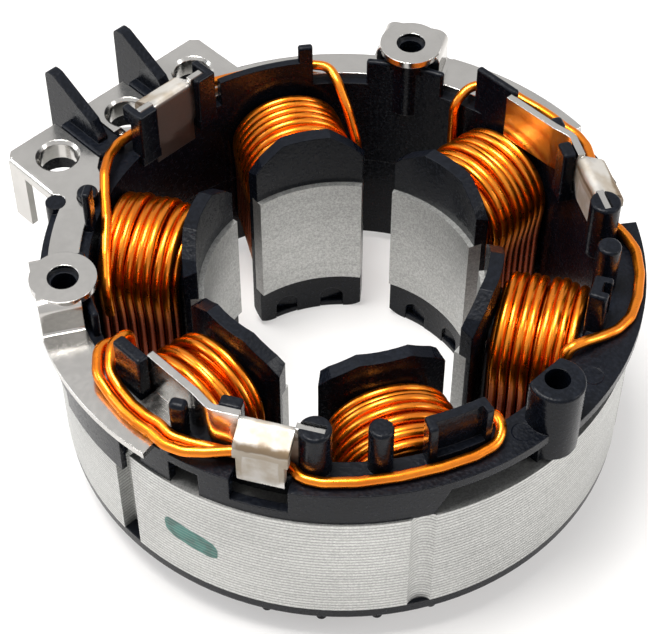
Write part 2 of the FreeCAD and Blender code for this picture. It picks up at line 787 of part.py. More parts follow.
def side_bar(side):
    """Left bar for side -1 and right bar for side 1, with the long way round to the hook."""
    half_ear = math.degrees(math.asin(ear_length / 2 / boss_circle))
    slab, neck, low = side_plate(side)
    collar, hole = terminal_hole(0 if side < 0 else 2)
    if side < 0:
        edge = terminal_x(0) - terminal_plate_out
        slab = slab.cut(block(edge - 1, edge + 1.0, terminal_row_at + terminal_plate_reach - lip_length,
                              terminal_row_at + terminal_plate_reach - plate_notch, deck_top - 1, plate_top + 1))
    plates = [slab, collar]

    def swing(a0, a1, r0, r1):
        lo, hi = sorted((90 - side * a0, 90 - side * a1))
        return sector(r0, r1, lo, hi, deck_top, plate_top)

    start = math.degrees(math.atan2(abs(neck), low))
    plates.append(swing(start, 60 - half_ear - 0.5, arm_inside, arm_outside))
    plates.append(swing(60 + half_ear + 0.5, 99.3, arc_plate_inside, arc_plate_outside))
    plates.append(ear(90 - side * 60))
    tab = block(tooth_strip_inside, arc_plate_inside + 1, 0.3, 4.2, deck_top, plate_top)
    strip = bus_strip(True)
    tab = turned(tab, -30)
    hook_angle = 210 if side < 0 else 330
    for piece in strip + [tab]:
        if side > 0:
            piece = piece.mirror(vec(0, 0), vec(0, 1, 0))
        plates.append(turned(piece, hook_angle))
    cuts = [hole]
    if side < 0:
        plates += terminal_flap()
        stake = polar(stake_at, stake_angle)
        stub = polar(core_radius - stub_inset, stub_angle)
        cuts.append(post(stake_diameter / 2 + lay_gap, stake.x, stake.y, deck_top - 6, plate_top + 1))
        cuts.append(post(stub_diameter / 2 + lay_gap, stub.x, stub.y, deck_top - 1, plate_top + 1))
    return without(fused(plates), cuts)


def middle_bar():
    x = terminal_x(1)
    top = terminal_row_at + terminal_plate_reach
    collar, hole = terminal_hole(1)
    plate = block(x - terminal_plate_in, x + terminal_plate_in, terminal_row_at - 1.5, top, deck_top, plate_top)
    link = block(-middle_strip_reach, x + terminal_plate_in, strip_inside, terminal_row_at, deck_top, plate_top)
    plates = [plate, collar, link]
    for piece in bus_strip(False):
        plates.append(turned(piece, 90))
    return without(fused(plates), [hole])


# Leads: enamelled wire between the coils and the hooks

def lead(points):
    """Round wire along straight runs joined by tangent arcs."""
    edges = rounded_edges(points, [lead_bend] * (len(points) - 2))
    path = Part.Wire(edges)
    profile = Part.Wire([Part.Circle(points[0], points[1].sub(points[0]), wire_radius).toShape()])
    return path.makePipeShell([profile], True, True)


def at(x, y, above_core):
    """Point by its place in plan and its height above the top of the core."""
    return vec(x, y, stack + above_core)


def slot_point(angle, d, t, above_core):
    """Point in the frame of a direction: d outwards along it, t square to it round to the left."""
    a = math.radians(angle)
    return vec(d * math.cos(a) - t * math.sin(a), d * math.sin(a) + t * math.cos(a), stack + above_core)


def lead_routes():
    """Centre lines of the leads, each one from its coil to its hook and past it."""
    lay = deck_height + wire_radius + lay_gap
    on_plate = lay + sheet_metal
    upper = lay + wire_diameter
    lane = guide_circle + split_post_diameter / 2 + wire_radius + lay_gap
    side = coil_half + wire_radius + 0.15
    wall = wall_inside
    block_face = tooth_strip_inside + sheet_metal + lay_gap + 1.4
    turn_lane = block_face + wire_radius + lay_gap
    routes = {}
    routes["lead_wire_1"] = [
        at(-23.7, side, -2.0), at(-23.7, side, 6.0), at(-26.8, side - 0.9, 7.2),
        at(-turn_lane - 0.1, 4.0, on_plate + 0.6), at(-turn_lane - 0.6, 1.8, on_plate + 0.1),
        at(-turn_lane - 0.9, -0.4, on_plate), at(-turn_lane - 0.9, -2.4, on_plate),
        at(-turn_lane - 0.6, -4.2, on_plate), at(-29.5, -5.9, on_plate - 0.1), at(-28.6, -7.7, on_plate - 0.3),
        slot_point(210, wire_lane + 0.2, -4.4, lay + 0.2), slot_point(210, wire_lane, -2.6, lay),
        slot_point(210, wire_lane + 0.1, 2.6, lay), slot_point(217.5, lane - 0.2, 0, lay),
        slot_point(221.5, lane + 0.1, 0, lay), slot_point(228, lane, 0, lay), slot_point(236, lane - 0.2, 0, lay),
        slot_point(244, lane - 0.3, 0, lay), slot_point(251, lane - 0.3, 0, lay),
        slot_point(256, lane - 0.5, 0, lay + 0.1), slot_point(258.8, lane - 1.6, 0, lay + 0.6),
        slot_point(259.5, 26.6, 0, lay + 0.7), slot_point(260.0, 25.0, 0, 2.0), slot_point(260.0, 24.8, 0, -2.0)]
    routes["lead_wire_2"] = [
        at(-25.2, side + 0.3, -2.0), at(-25.2, side + 0.3, 5.4), at(-27.7, side + 0.1, 6.8),
        at(-turn_lane - 1.3, 4.5, on_plate + 0.6), at(-turn_lane - 1.8, 1.8, on_plate + 0.1),
        at(-turn_lane - 2.1, -0.5, on_plate), at(-turn_lane - 2.1, -2.5, on_plate),
        at(-turn_lane - 1.9, -4.4, on_plate), at(-30.7, -6.3, on_plate), at(-29.95, -8.3, on_plate + 0.1),
        at(-28.6, -10.0, upper), slot_point(210, outer_wire_lane, -3.0, upper + 0.05),
        slot_point(210, outer_wire_lane, 2.2, upper + 0.05)]
    routes["lead_wire_3"] = [
        slot_point(300, 25.5, -side - 0.2, -2.0), slot_point(300, 25.4, -side - 0.2, 5.6),
        slot_point(300, 27.2, -5.6, lay + 0.5), slot_point(291.7, 28.9, 0, lay + 0.05), slot_point(294.5, 30.1, 0, lay),
        slot_point(298.5, 31.0, 0, lay), slot_point(304, 31.3, 0, lay), slot_point(310, 31.4, 0, lay),
        slot_point(316, 31.2, 0, lay), slot_point(319.5, 30.5, 0, lay), slot_point(322.6, lane - 0.2, 0, lay),
        slot_point(330, wire_lane, -2.4, lay), slot_point(330, wire_lane, 3.0, lay),
        slot_point(330, wire_lane + 0.4, 4.6, lay + 0.6)]
    mirrored = []
    for point in routes["lead_wire_2"]:
        mirrored.append(vec(-point.x, point.y, point.z))
    routes["lead_wire_4"] = mirrored
    over = on_plate + 0.05
    routes["lead_wire_5"] = [
        at(2.2, wire_lane, over), at(-2.4, wire_lane, over), at(-4.6, wire_lane + 0.4, over),
        at(-7.0, 28.5, over + 0.1), at(-9.2, 27.4, over + 0.4), at(-11.1, 25.9, over + 0.3),
        at(-12.9, 23.8, 5.6), at(-14.6, 21.6, 4.9), at(-17.1, 19.0, 3.5), at(-19.5, 16.3, 1.2),
        at(-19.6, 15.9, -2.0)]
    routes["lead_wire_6"] = [
        at(-2.0, outer_wire_lane, over + wire_diameter), at(2.4, outer_wire_lane, over + wire_diameter),
        at(5.6, 29.0, over + 0.4), at(9.0, 27.9, over + 0.05), at(13.1, 26.0, over),
        at(16.9, 23.5, over + 0.1), at(18.5, 21.0, over + 0.4), at(17.9, 18.9, 5.9), at(17.2, 16.6, 3.8),
        at(16.7, 14.6, 0.5), at(16.5, 14.0, -2.0)]
    return routes


def export(shape, name):
    shape.exportStep(os.path.join("parts", name + ".step"))
    box = shape.BoundBox
    print(name, "solids", len(shape.Solids), "valid", shape.isValid(), "volume", round(shape.Volume, 1),
          "box", [round(v, 2) for v in (box.XMin, box.XMax, box.YMin, box.YMax, box.ZMin, box.ZMax)])


def main():
    os.makedirs("parts", exist_ok=True)
    export(core_shape(), "stator_core")
    export(upper_insulator_shape(), "upper_insulator")
    export(lower_insulator_shape(), "lower_insulator")
    coil = coil_shape()
    for number, angle in enumerate(tooth_angles, 1):
        export(turned(coil, angle), "coil_%d" % number)
    export(side_bar(-1), "busbar_left")
    export(side_bar(1), "busbar_right")
    export(middle_bar(), "busbar_middle")
    for name, points in lead_routes().items():
        export(lead(points), name)


main()
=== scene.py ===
# %% [markdown]
# # A wound stator in Blender
#
# The object is the fixed part of a small brushless motor: a ring of steel sheets with six inward
# teeth, black plastic insulators above and below it, a coil of enamelled wire on each tooth, and
# tinned bus bars that join the coils at fusing hooks. The CAD model gives every form and its
# place. This file gives the camera, the light, the finishes, and the wire of the coils turn by turn.

# %% Load the frame
import bmesh
import bpy
import json
import math
import random
from mathutils import Euler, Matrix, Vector


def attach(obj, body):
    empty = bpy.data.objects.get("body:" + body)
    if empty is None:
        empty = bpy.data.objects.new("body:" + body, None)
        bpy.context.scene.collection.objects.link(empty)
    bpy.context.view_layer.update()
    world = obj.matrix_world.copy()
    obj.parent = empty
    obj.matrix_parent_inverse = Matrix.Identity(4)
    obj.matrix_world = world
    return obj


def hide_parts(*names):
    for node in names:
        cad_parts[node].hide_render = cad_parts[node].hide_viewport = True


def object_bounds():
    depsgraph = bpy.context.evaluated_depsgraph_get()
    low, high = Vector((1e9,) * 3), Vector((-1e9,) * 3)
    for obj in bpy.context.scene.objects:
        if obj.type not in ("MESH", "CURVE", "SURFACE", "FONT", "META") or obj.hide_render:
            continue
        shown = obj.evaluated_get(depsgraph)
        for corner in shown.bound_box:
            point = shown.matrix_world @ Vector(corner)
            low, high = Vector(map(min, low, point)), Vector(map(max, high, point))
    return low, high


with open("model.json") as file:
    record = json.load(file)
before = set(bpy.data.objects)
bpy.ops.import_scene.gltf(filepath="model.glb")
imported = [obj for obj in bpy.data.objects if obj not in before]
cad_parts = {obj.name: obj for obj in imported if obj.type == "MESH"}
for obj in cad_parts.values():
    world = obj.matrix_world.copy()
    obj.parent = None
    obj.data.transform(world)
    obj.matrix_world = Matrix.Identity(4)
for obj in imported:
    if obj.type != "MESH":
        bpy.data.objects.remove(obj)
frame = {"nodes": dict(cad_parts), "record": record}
cad_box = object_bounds()
nodes = frame["nodes"]
MM = 0.001
print("nodes", sorted(nodes))
print("CAD box", [[round(c, 5) for c in corner] for corner in cad_box])

# %% [markdown]
# ## Sizes that the CAD model and this file share
#
# The wire of the coils follows the plastic cover of each tooth, so the few sizes that set the
# cover are named here once, in millimetres, as they are in the CAD model.

# %% Shared sizes
stack = 15.5
core_radius = 31.5
cover = 2.2
cover_corner = 3.4
cover_half = 4.2
coil_inside = 17.1
coil_outside = 26.28
wire_diameter = 1.12
wire_radius = wire_diameter / 2
turns_per_layer = 8
deck_top = 20.1
flange_inside = 15.6
table_height = cad_box[0][2]
tooth_angles = [0, 60, 120, 180, 240, 300]
print("table at", round(table_height / MM, 2), "mm")

# %% [markdown]
# ## Camera
#
# The photograph was taken from above the front left, close to the part, with a long lens. A camera
# was fitted to the core's circles and upright edges, and its place, turn and lens are set here as
# plain values. No lens shift is needed, so every other view stays centred as well.

# %% Camera
camera_data = bpy.data.cameras.new("camera")
camera_data.sensor_width = 36
camera_data.lens = 104.53
camera_data.clip_start = 0.01
camera = bpy.data.objects.new("camera", camera_data)
camera.location = Vector((-95.887, -95.198, 168.489)) * MM
camera.rotation_euler = Euler([math.radians(a) for a in (40.4613, 0.0348, -44.3984)])
bpy.context.collection.objects.link(camera)
bpy.context.scene.camera = camera
bpy.context.scene.view_settings.view_transform = "Standard"
print("camera", [round(c, 4) for c in camera.location], "lens", camera_data.lens)

# %% [markdown]
# ## Light
#
# The photograph has the even light of a white tent: one broad soft source nearly overhead, a weaker
# one from the back left that puts a sheen on the black plastic, another from the front, and a pale
# room. Area lamps and a plain world do the same. For rays that only light a surface, the world is
# brighter on one side, which gives the forms some shade. Rays that show a background see it white.

# %% Lamps
def soft_lamp(name, place, aim, size, watts, colour=(1, 1, 1)):
    data = bpy.data.lights.new(name, "AREA")
    data.shape = "RECTANGLE"
    data.size = size[0]
    data.size_y = size[1]
    data.energy = watts
    data.color = colour
    lamp = bpy.data.objects.new(name, data)
    lamp.location = Vector(place)
    lamp.rotation_euler = (Vector(aim) - Vector(place)).to_track_quat("-Z", "Y").to_euler()
    bpy.context.collection.objects.link(lamp)
    print("lamp", name, watts, "W")


soft_lamp("key_lamp", (-0.08, 0.08, 0.55), (0, 0, 0), (0.24, 0.24), 4.4, (1, 0.99, 0.97))
soft_lamp("back_lamp", (-0.34, 0.38, 0.30), (0, 0, 0.01), (0.20, 0.30), 1.0, (0.92, 0.96, 1))
soft_lamp("front_lamp", (0.25, -0.42, 0.25), (0, 0, 0.01), (0.16, 0.30), 1.0)

# %% World
def seen_rays(tree):
    """1 for the rays that show a background: straight to the camera, off a gloss, or through glass."""
    path = tree.nodes.new("ShaderNodeLightPath")
    total = path.outputs["Is Camera Ray"]
    for name in ("Is Glossy Ray", "Is Transmission Ray"):
        add = tree.nodes.new("ShaderNodeMath")
        add.operation = "MAXIMUM"
        tree.links.new(total, add.inputs[0])
        tree.links.new(path.outputs[name], add.inputs[1])
        total = add.outputs[0]
    return total


world = bpy.data.worlds.new("studio")
bpy.context.scene.world = world
world.use_nodes = True
world_nodes = world.node_tree
world_nodes.nodes.clear()
world_out = world_nodes.nodes.new("ShaderNodeOutputWorld")
world_back = world_nodes.nodes.new("ShaderNodeBackground")
look = world_nodes.nodes.new("ShaderNodeTexCoord")
facing = world_nodes.nodes.new("ShaderNodeVectorMath")
facing.operation = "DOT_PRODUCT"
facing.inputs[1].default_value = (0.45, 0.45, 0.77)
level = world_nodes.nodes.new("ShaderNodeMapRange")
for key, number in (("From Min", -0.3), ("From Max", 0.9), ("To Min", 0.20), ("To Max", 0.62)):
    level.inputs[key].default_value = number
shown = world_nodes.nodes.new("ShaderNodeMix")
shown.inputs[3].default_value = 1.0
world_nodes.links.new(look.outputs["Generated"], facing.inputs[0])
world_nodes.links.new(facing.outputs["Value"], level.inputs["Value"])
world_nodes.links.new(seen_rays(world_nodes), shown.inputs[0])
world_nodes.links.new(level.outputs["Result"], shown.inputs[2])
world_nodes.links.new(shown.outputs[0], world_back.inputs["Strength"])
world_nodes.links.new(world_back.outputs[0], world_out.inputs["Surface"])
print("world level", level.inputs["To Min"].default_value, "to", level.inputs["To Max"].default_value)

# %% [markdown]
# ## Table
#
# The part stands on a white glossy table that shows a soft contact shadow. Where the table is seen
# straight or in a reflection, Light Path mixes in a share of plain white, so the background is
# clean while the shadow under the part stays.

# %% Table top
table_glow = 0.44


def make_table():
    size = 1.6
    mesh = bpy.data.meshes.new("table_top")
    sheet = bmesh.new()
    bmesh.ops.create_grid(sheet, x_segments=8, y_segments=8, size=size)
    bmesh.ops.translate(sheet, vec=(0, 0, table_height), verts=sheet.verts)
    sheet.to_mesh(mesh)
    sheet.free()
    table = bpy.data.objects.new("table_top", mesh)
    bpy.context.collection.objects.link(table)
    material = bpy.data.materials.new("table_white")
    material.use_nodes = True
    tree = material.node_tree
    tree.nodes.clear()
    out = tree.nodes.new("ShaderNodeOutputMaterial")
    surface = tree.nodes.new("ShaderNodeBsdfPrincipled")
    surface.inputs["Base Color"].default_value = (0.90, 0.885, 0.875, 1)
    surface.inputs["Roughness"].default_value = 0.20
    surface.inputs["Specular IOR Level"].default_value = 0.35
    glow = tree.nodes.new("ShaderNodeEmission")
    glow.inputs["Color"].default_value = (1.0, 0.985, 0.975, 1)
    share = tree.nodes.new("ShaderNodeMath")
    share.operation = "MULTIPLY"
    share.inputs[1].default_value = table_glow
    mix = tree.nodes.new("ShaderNodeMixShader")
    tree.links.new(seen_rays(tree), share.inputs[0])
    tree.links.new(share.outputs[0], mix.inputs[0])
    tree.links.new(surface.outputs[0], mix.inputs[1])
    tree.links.new(glow.outputs[0], mix.inputs[2])
    tree.links.new(mix.outputs[0], out.inputs["Surface"])
    table.data.materials.append(material)


make_table()
print("table top at", round(table_height, 5))

# %% [markdown]
# ## Finishes
#
# Four finishes cover the object: punched steel, black glass-filled plastic, tinned sheet and
# enamelled wire. Two effects are used by more than one of them, so each is a node group:
# fine grain, which breaks up gloss and gives a fine bump, and broad tone, which varies a colour slowly
# over a piece.

# %% Helpers for node trees
def new_material(name):
    material = bpy.data.materials.new(name)
    material.use_nodes = True
    tree = material.node_tree
    tree.nodes.clear()
    out = tree.nodes.new("ShaderNodeOutputMaterial")
    shader = tree.nodes.new("ShaderNodeBsdfPrincipled")
    tree.links.new(shader.outputs["BSDF"], out.inputs["Surface"])
    return material, tree, shader


def node(tree, kind, **values):
    made = tree.nodes.new(kind)
    for key, value in values.items():
        setattr(made, key, value)
    return made


def maths(tree, operation, a, b=None, clamp=False):
    made = node(tree, "ShaderNodeMath", operation=operation, use_clamp=clamp)
    for slot, value in enumerate((a, b)):
        if value is None:
            continue
        if isinstance(value, (int, float)):
            made.inputs[slot].default_value = value
        else:
            tree.links.new(value, made.inputs[slot])
    return made.outputs[0]


def centred(tree, noise, amount):
    """Noise from 0 to 1 made to swing evenly about zero."""
    return maths(tree, "MULTIPLY", maths(tree, "SUBTRACT", noise, 0.5), amount)


def around_edge(tree, value, half_size, power):
    return maths(tree, "POWER", maths(tree, "ABSOLUTE", maths(tree, "DIVIDE", value, half_size)), power)


def ramp(tree, value, low, high, to_low=0.0, to_high=1.0):
    made = node(tree, "ShaderNodeMapRange", interpolation_type="SMOOTHSTEP")
    tree.links.new(value, made.inputs["Value"])
    for key, number in (("From Min", low), ("From Max", high), ("To Min", to_low), ("To Max", to_high)):
        made.inputs[key].default_value = number
    return made.outputs["Result"]


def blend_colour(tree, factor, a, b, mode="MIX"):
    made = node(tree, "ShaderNodeMix", data_type="RGBA", blend_type=mode)
    if isinstance(factor, (int, float)):
        made.inputs[0].default_value = factor
    else:
        tree.links.new(factor, made.inputs[0])
    for slot, value in ((6, a), (7, b)):
        if isinstance(value, tuple):
            made.inputs[slot].default_value = (*value, 1)
        else:
            tree.links.new(value, made.inputs[slot])
    return made.outputs[2]


print("node helpers ready")

# %% Node group: fine grain
def grain_group():
    group = bpy.data.node_groups.new("fine_grain", "ShaderNodeTree")
    for name, kind in (("Scale", "NodeSocketFloat"), ("Vector", "NodeSocketVector")):
        group.interface.new_socket(name, in_out="INPUT", socket_type=kind)
    for name in ("Mask", "Height"):
        group.interface.new_socket(name, in_out="OUTPUT", socket_type="NodeSocketFloat")
    into = group.nodes.new("NodeGroupInput")
    out = group.nodes.new("NodeGroupOutput")
    fine = node(group, "ShaderNodeTexNoise")
    fine.inputs["Detail"].default_value = 3
    fine.inputs["Roughness"].default_value = 0.6
    cells = node(group, "ShaderNodeTexVoronoi")
    group.links.new(into.outputs["Vector"], fine.inputs["Vector"])
    group.links.new(into.outputs["Vector"], cells.inputs["Vector"])
    group.links.new(into.outputs["Scale"], fine.inputs["Scale"])
    group.links.new(into.outputs["Scale"], cells.inputs["Scale"])
    mask = ramp(group, fine.outputs["Fac"], 0.35, 0.65)
    height = maths(group, "MULTIPLY", fine.outputs["Fac"], cells.outputs["Distance"])
    group.links.new(mask, out.inputs["Mask"])
    group.links.new(height, out.inputs["Height"])
    return group


fine_grain = grain_group()
print("group", fine_grain.name, [s.name for s in fine_grain.interface.items_tree])

# %% Node group: broad tone
def tone_group():
    group = bpy.data.node_groups.new("broad_tone", "ShaderNodeTree")
    for name in ("Scale", "Low", "High"):
        group.interface.new_socket(name, in_out="INPUT", socket_type="NodeSocketFloat")
    group.interface.new_socket("Vector", in_out="INPUT", socket_type="NodeSocketVector")
    group.interface.new_socket("Tone", in_out="OUTPUT", socket_type="NodeSocketFloat")
    into = group.nodes.new("NodeGroupInput")
    out = group.nodes.new("NodeGroupOutput")
    noise = node(group, "ShaderNodeTexNoise")
    noise.inputs["Detail"].default_value = 4
    group.links.new(into.outputs["Vector"], noise.inputs["Vector"])
    group.links.new(into.outputs["Scale"], noise.inputs["Scale"])
    span = node(group, "ShaderNodeMapRange")
    span.inputs["From Min"].default_value = 0.3
    span.inputs["From Max"].default_value = 0.7
    group.links.new(noise.outputs["Fac"], span.inputs["Value"])
    group.links.new(into.outputs["Low"], span.inputs["To Min"])
    group.links.new(into.outputs["High"], span.inputs["To Max"])
    group.links.new(span.outputs["Result"], out.inputs["Tone"])
    return group


broad_tone = tone_group()
print("group", broad_tone.name)


# %% Helpers that place the groups
def place_group(tree, group, vector, **values):
    made = tree.nodes.new("ShaderNodeGroup")
    made.node_tree = group
    tree.links.new(vector, made.inputs["Vector"])
    for key, value in values.items():
        made.inputs[key].default_value = value
    return made.outputs


def object_place(tree):
    return tree.nodes.new("ShaderNodeTexCoord").outputs["Object"]


def add_bump(tree, shader, height, strength, distance, normal=None):
    bump = node(tree, "ShaderNodeBump")
    bump.inputs["Strength"].default_value = strength
    bump.inputs["Distance"].default_value = distance * MM
    tree.links.new(height, bump.inputs["Height"])
    if normal is not None:
        tree.links.new(normal, bump.inputs["Normal"])
    tree.links.new(bump.outputs["Normal"], shader.inputs["Normal"])
    return bump


def distance_from(tree, place, reach, degrees, height):
    """Distance from a point given by its reach from the axis, angle and height, in millimetres."""
    turn = math.radians(degrees)
    away = node(tree, "ShaderNodeVectorMath", operation="DISTANCE")
    tree.links.new(place, away.inputs[0])
    away.inputs[1].default_value = (reach * MM * math.cos(turn), reach * MM * math.sin(turn), height * MM)
    return away.outputs["Value"]


def rounded_edges(tree, radius):
    edge = node(tree, "ShaderNodeBevel", samples=6)
    edge.inputs["Radius"].default_value = radius * MM
    return edge.outputs["Normal"]


print("placing helpers ready")

# %% [markdown]
# ### Punched steel
#
# The core is a stack of half millimetre sheets, and their edges show as fine lines round the
# outside. The lines come from the height of each point: the fraction of a sheet at that
# height draws a dark groove and a little bump, and each sheet gets its own tone. The ground bore shows
# the sheets only faintly; it is darker, with fine specks. A dab of green paint sits on the outside,
# below the left hook; it is an oval mask in the unrolled surface, with a ragged edge.

# %% Steel material
sheet_thickness = 0.5


def steel_material():
    material, tree, shader = new_material("core_steel")
    place = object_place(tree)
    parts = node(tree, "ShaderNodeSeparateXYZ")
    tree.links.new(place, parts.inputs[0])
    x, y, z = parts.outputs
    squares = maths(tree, "ADD", maths(tree, "MULTIPLY", x, x), maths(tree, "MULTIPLY", y, y))
    radius = maths(tree, "SQRT", squares)
    outside = ramp(tree, radius, 20 * MM, 25 * MM)
    wander = node(tree, "ShaderNodeTexNoise")
    wander.inputs["Scale"].default_value = 90
    tree.links.new(place, wander.inputs["Vector"])
    wobble = centred(tree, wander.outputs["Fac"], 0.10)
    sheets = maths(tree, "ADD", maths(tree, "DIVIDE", z, sheet_thickness * MM), wobble)
    within = maths(tree, "FRACT", sheets)
    number = maths(tree, "FLOOR", sheets)
    edge = maths(tree, "ABSOLUTE", maths(tree, "SUBTRACT", within, 0.5))
    groove = ramp(tree, edge, 0.22, 0.46)
    own = node(tree, "ShaderNodeTexWhiteNoise", noise_dimensions="1D")
    tree.links.new(number, own.inputs["W"])
    streak_place = node(tree, "ShaderNodeMapping")
    streak_place.inputs["Scale"].default_value = (1, 1, 14)
    tree.links.new(place, streak_place.inputs["Vector"])
    streak = node(tree, "ShaderNodeTexNoise")
    streak.inputs["Scale"].default_value = 420
    streak.inputs["Detail"].default_value = 4
    tree.links.new(streak_place.outputs[0], streak.inputs["Vector"])
    grain = place_group(tree, fine_grain, place, Scale=5200.0)
    tone = place_group(tree, broad_tone, place, Scale=70.0, Low=0.88, High=1.06)["Tone"]
    lines = maths(tree, "MULTIPLY", groove, ramp(tree, outside, 0, 1, 0.04, 1.0))
    shade = maths(tree, "SUBTRACT", 1.0, maths(tree, "MULTIPLY", lines, 0.42))
    shade = maths(tree, "MULTIPLY", shade, ramp(tree, own.outputs["Value"], 0, 1, 0.96, 1.03))
    streaks = centred(tree, streak.outputs["Fac"], ramp(tree, outside, 0, 1, 0.02, 0.18))
    shade = maths(tree, "MULTIPLY", shade, maths(tree, "ADD", streaks, 0.98))
    shade = maths(tree, "MULTIPLY", shade, ramp(tree, grain["Mask"], 0, 1, 0.84, 1.12))
    shade = maths(tree, "MULTIPLY", shade, tone)
    specks = place_group(tree, fine_grain, place, Scale=3200.0)["Mask"]
    ground = maths(tree, "MULTIPLY", ramp(tree, specks, 0, 1, 0.66, 0.82), ramp(tree, outside, 1, 0))
    shade = maths(tree, "MULTIPLY", shade, maths(tree, "ADD", ground, outside))
    steel = node(tree, "ShaderNodeVectorMath", operation="SCALE")
    steel.inputs[0].default_value = (0.595, 0.597, 0.58)
    tree.links.new(shade, steel.inputs["Scale"])
    # Green dab in the unrolled outside
    angle = maths(tree, "ARCTAN2", maths(tree, "MULTIPLY", y, -1.0), maths(tree, "MULTIPLY", x, -1.0))
    along = maths(tree, "MULTIPLY", maths(tree, "SUBTRACT", angle, math.radians(15.7)), core_radius)
    height = maths(tree, "SUBTRACT", maths(tree, "DIVIDE", z, MM), 7.15)
    height = maths(tree, "ADD", height, maths(tree, "MULTIPLY", along, 0.19))
    ragged = node(tree, "ShaderNodeTexNoise")
    ragged.inputs["Scale"].default_value = 700
    ragged.inputs["Detail"].default_value = 3
    tree.links.new(place, ragged.inputs["Vector"])
    oval = maths(tree, "ADD", around_edge(tree, along, 3.3, 4.0), around_edge(tree, height, 1.65, 3.2))
    oval = maths(tree, "ADD", oval, centred(tree, ragged.outputs["Fac"], 0.7))
    dab = maths(tree, "MULTIPLY", ramp(tree, oval, 0.95, 0.75), outside, clamp=True)
    thick = ramp(tree, ragged.outputs["Fac"], 0.35, 0.65)
    paint = blend_colour(tree, thick, (0.004, 0.085, 0.066), (0.012, 0.17, 0.135))
    covered = maths(tree, "MULTIPLY", dab, ramp(tree, groove, 0, 1, 0.97, 0.75))
    colour = blend_colour(tree, covered, steel.outputs["Vector"], paint)
    tree.links.new(colour, shader.inputs["Base Color"])
    tree.links.new(ramp(tree, dab, 0, 1, 0.90, 0.05), shader.inputs["Metallic"])
    rough = ramp(tree, outside, 0, 1, 0.38, 0.46)
    rough = maths(tree, "ADD", rough, maths(tree, "MULTIPLY", grain["Mask"], 0.08))
    tree.links.new(rough, shader.inputs["Roughness"])
    relief = maths(tree, "SUBTRACT", maths(tree, "MULTIPLY", streaks, 0.5), lines)
    relief = maths(tree, "ADD", relief, maths(tree, "MULTIPLY", grain["Height"], 0.25))
    add_bump(tree, shader, relief, 0.45, 0.05)
    return material


core_steel = steel_material()
print("material", core_steel.name)

# %% [markdown]
# ### Black plastic
#
# The insulators are glass-filled nylon. Fresh from the mould it is near black, with a fine grain
# on flat tops, a satin gloss on the walls and faint flow marks. The edges of a moulding are never
# sharp, so the shader rounds them with a small bevel, which catches the light as in the photograph.
# Two shallow round marks in the front of the deck, left by the ejector pins, are masks by distance.

# %% Plastic material
ejector_marks = [(29.3, 262.5), (30.0, 282.6)]


def plastic_material():
    material, tree, shader = new_material("moulding")
    place = object_place(tree)
    facing = node(tree, "ShaderNodeNewGeometry")
    split = node(tree, "ShaderNodeSeparateXYZ")
    tree.links.new(facing.outputs["Normal"], split.inputs[0])
    tops = ramp(tree, split.outputs[2], 0.55, 0.9)
    grain = place_group(tree, fine_grain, place, Scale=2600.0)
    tone = place_group(tree, broad_tone, place, Scale=160.0, Low=0.8, High=1.25)["Tone"]
    base = node(tree, "ShaderNodeVectorMath", operation="SCALE")
    base.inputs[0].default_value = (0.0026, 0.0036, 0.0064)
    level = maths(tree, "MULTIPLY", tone, ramp(tree, grain["Mask"], 0, 1, 0.85, 1.35))
    tree.links.new(level, base.inputs["Scale"])
    tree.links.new(base.outputs["Vector"], shader.inputs["Base Color"])
    rough = ramp(tree, tops, 0, 1, 0.18, 0.32)
    rough = maths(tree, "ADD", rough, maths(tree, "MULTIPLY", grain["Mask"], 0.10))
    tree.links.new(rough, shader.inputs["Roughness"])
    shader.inputs["Specular IOR Level"].default_value = 0.14
    relief = maths(tree, "MULTIPLY", grain["Height"], ramp(tree, tops, 0, 1, 0.35, 1.0))
    for reach, angle in ejector_marks:
        away = distance_from(tree, place, reach, angle, deck_top)
        dish = ramp(tree, away, 1.02 * MM, 1.18 * MM, -2.2, 0.0)
        relief = maths(tree, "ADD", relief, maths(tree, "MULTIPLY", dish, tops))
    add_bump(tree, shader, relief, 0.6, 0.09, rounded_edges(tree, 0.16))
    return material


moulding = plastic_material()
print("material", moulding.name)

# %% [markdown]
# ### Tinned sheet
#
# The bus bars are stamped from tinned copper sheet. The plating is bright, with a slight waviness and
# faint rolling marks, so the roughness is low and a weak bump bends its reflections. Where a hook was
# fused to its wires, heat has turned the tin whitish and dull, so a mask by distance from each hook
# changes colour and gloss there, with a stain round the pressed foot. A brown line along the fold is
# painted shadow in the fold. The inner face of the middle bar is a dull brown.

# %% Tinned material
hook_angles = [90, 210, 330]
hook_distance = 28.7
hook_middle = 22.8
hook_fold = 24.3
strip_inside = 26.9


